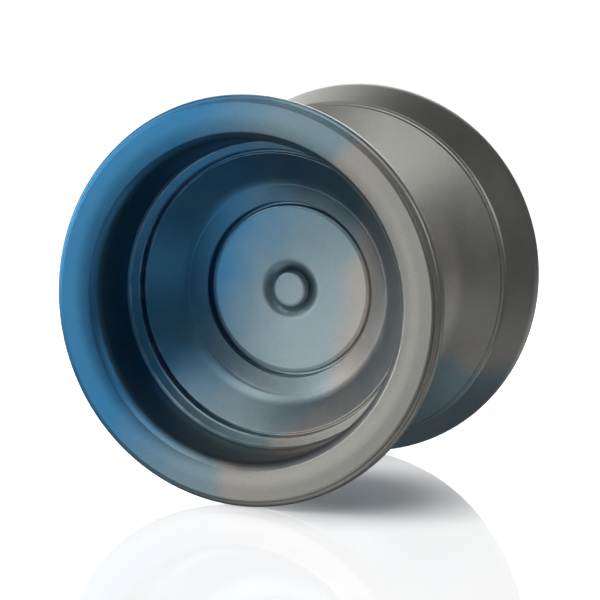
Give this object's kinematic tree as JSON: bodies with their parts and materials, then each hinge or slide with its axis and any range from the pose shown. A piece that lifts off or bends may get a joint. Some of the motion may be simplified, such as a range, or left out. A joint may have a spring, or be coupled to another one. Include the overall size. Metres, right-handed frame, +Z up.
{
  "type": "yo-yo",
  "caption": "Wide metal yo-yo with deep cups, response pads and a ball bearing axle; halves unscrew.",
  "frame": {"origin": "centre of the whole yo-yo, on the spin axis in the middle of the string gap", "axes": "+Y along the spin axis, from the front half to the rear half; +Z up as it stands on both rims"},
  "size_m": [0.055, 0.0468, 0.055],
  "materials": {
    "anodised_front": "bead-blasted and anodised, blue fading to grey",
    "anodised_rear": "bead-blasted and anodised, grey fading to blue",
    "axle_steel": "black oxide",
    "silicone": "matt white",
    "race_steel": "ground and polished",
    "ball_steel": "polished",
    "cage_steel": "stamped",
    "shield_steel": "stamped, satin",
    "snap_steel": "drawn wire"
  },
  "bodies": {
    "front_half": {"front_half": "anodised_front", "front_response_pad": "silicone", "axle": "axle_steel", "inner_race": "race_steel"},
    "string_race": {"outer_race": "race_steel", "front_shield": "shield_steel", "rear_shield": "shield_steel", "front_snap_ring": "snap_steel", "rear_snap_ring": "snap_steel"},
    "ball_set": {"ball_cage": "cage_steel", "ball_01": "ball_steel", "ball_02": "ball_steel", "ball_03": "ball_steel", "ball_04": "ball_steel", "ball_05": "ball_steel", "ball_06": "ball_steel", "ball_07": "ball_steel", "ball_08": "ball_steel", "ball_09": "ball_steel", "ball_10": "ball_steel"},
    "rear_thread": {"rear_response_pad": "silicone"},
    "rear_half": {"rear_half": "anodised_rear"}
  },
  "joints": [
    {"name": "bearing_spin", "type": "hinge", "parent": "front_half", "child": "string_race", "pos_m": [0, 0, 0], "axis": [0, 1, 0], "continuous": true},
    {"name": "ball_orbit", "type": "hinge", "parent": "front_half", "child": "ball_set", "pos_m": [0, 0, 0], "axis": [0, 1, 0], "continuous": true},
    {"name": "rear_travel", "type": "slide", "parent": "front_half", "child": "rear_thread", "axis": [0, 1, 0], "range_m": [0, 0.0049]},
    {"name": "rear_unscrew", "type": "hinge", "parent": "rear_thread", "child": "rear_half", "pos_m": [0, 0, 0], "axis": [0, 1, 0], "range_deg": [0, 2520]}
  ],
  "couplings": [
    {"joint": "ball_orbit", "follows": "bearing_spin", "ratio": 0.58333},
    {"joint": "rear_travel", "follows": "rear_unscrew", "m_per_rad": 0.0001114}
  ]
}
